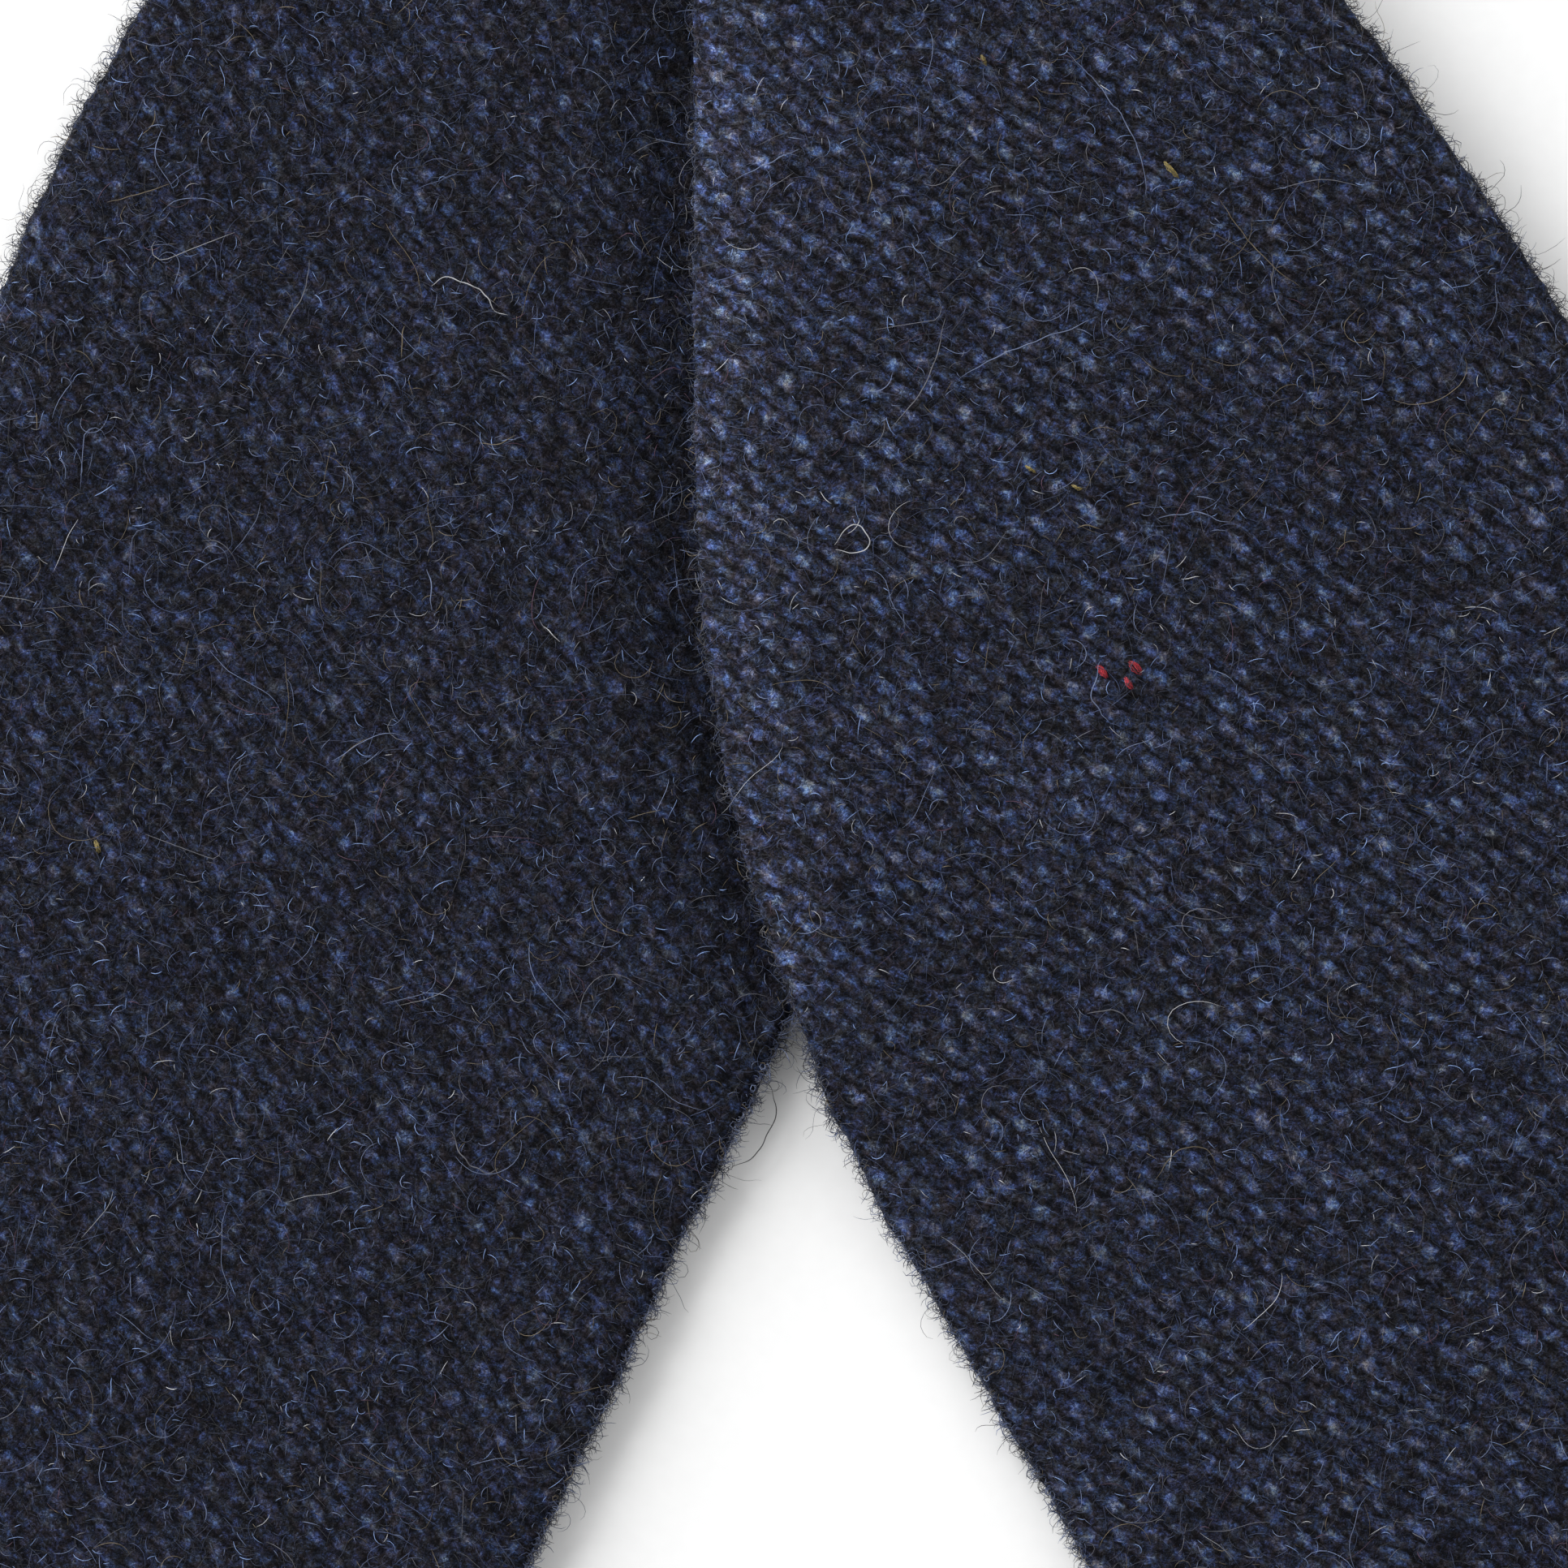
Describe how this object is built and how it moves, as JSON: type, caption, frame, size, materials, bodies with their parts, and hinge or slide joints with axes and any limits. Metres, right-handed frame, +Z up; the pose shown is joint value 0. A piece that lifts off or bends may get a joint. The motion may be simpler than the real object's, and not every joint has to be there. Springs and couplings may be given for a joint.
{
  "type": "bow tie",
  "caption": "Untied self-tie butterfly bow tie in fuzzy charcoal and navy tweed, lying flat with its neckband hooked into a loop.",
  "frame": {"origin": "on the table, under the middle of the whole tie's box", "axes": "+Z up from the table, +Y from the blades towards the neck loop, +X to the right seen from above"},
  "size_m": [0.1696, 0.4394, 0.0245],
  "materials": {
    "tweed": "fuzzy plain-weave wool tweed, charcoal with navy",
    "interlining": "soft woven canvas",
    "tape": "dark ribbed ribbon",
    "thread": "twisted sewing thread",
    "label": "plain woven satin, no words",
    "fittings": "nickel plate, softly polished"
  },
  "bodies": {
    "left_half": {"adjuster_tape_lead": "tape", "left_blade_back": "tweed", "left_blade_front": "tweed", "left_blade_interlining": "interlining", "left_slip_stitches": "thread", "left_strap_back": "tweed", "left_strap_front": "tweed", "left_strap_interlining": "interlining"},
    "slider": {"adjuster_tape_end": "tape", "adjuster_tape_pass": "tape", "adjuster_tape_return": "tape", "adjuster_tape_run": "tape", "slider": "fittings"},
    "right_half": {"care_label": "label", "eye_tack": "thread", "eye_tape": "tape", "hook_fold": "tape", "right_blade_back": "tweed", "right_blade_front": "tweed", "right_blade_interlining": "interlining", "right_slip_stitches": "thread", "right_strap_back": "tweed", "right_strap_front": "tweed", "right_strap_interlining": "interlining"},
    "hook": {"hook": "fittings"},
    "eye": {"eye": "fittings"}
  },
  "joints": [
    {"name": "slider_slide", "type": "slide", "parent": "left_half", "child": "slider", "axis": [0.2731, 0.962, 0], "range_m": [-0.009, 0.009], "deforming": ["adjuster_tape_lead"]},
    {"name": "band_length", "type": "slide", "parent": "slider", "child": "right_half", "axis": [0.2731, 0.962, 0], "range_m": [-0.0045, 0.0045], "deforming": ["adjuster_tape_run", "adjuster_tape_return"]},
    {"name": "hook_swing", "type": "hinge", "parent": "right_half", "child": "hook", "pos_m": [0.0326, 0.12651, 0.01225], "axis": [0, 0, 1], "range_deg": [-12, 12]},
    {"name": "eye_swing", "type": "hinge", "parent": "right_half", "child": "eye", "pos_m": [0.03943, 0.15056, 0.01225], "axis": [0, 0, 1], "range_deg": [-12, 12]}
  ],
  "couplings": [
    {"joint": "band_length", "follows": "slider_slide", "ratio": -0.5},
    {"joint": "eye_swing", "follows": "hook_swing", "ratio": -1}
  ]
}
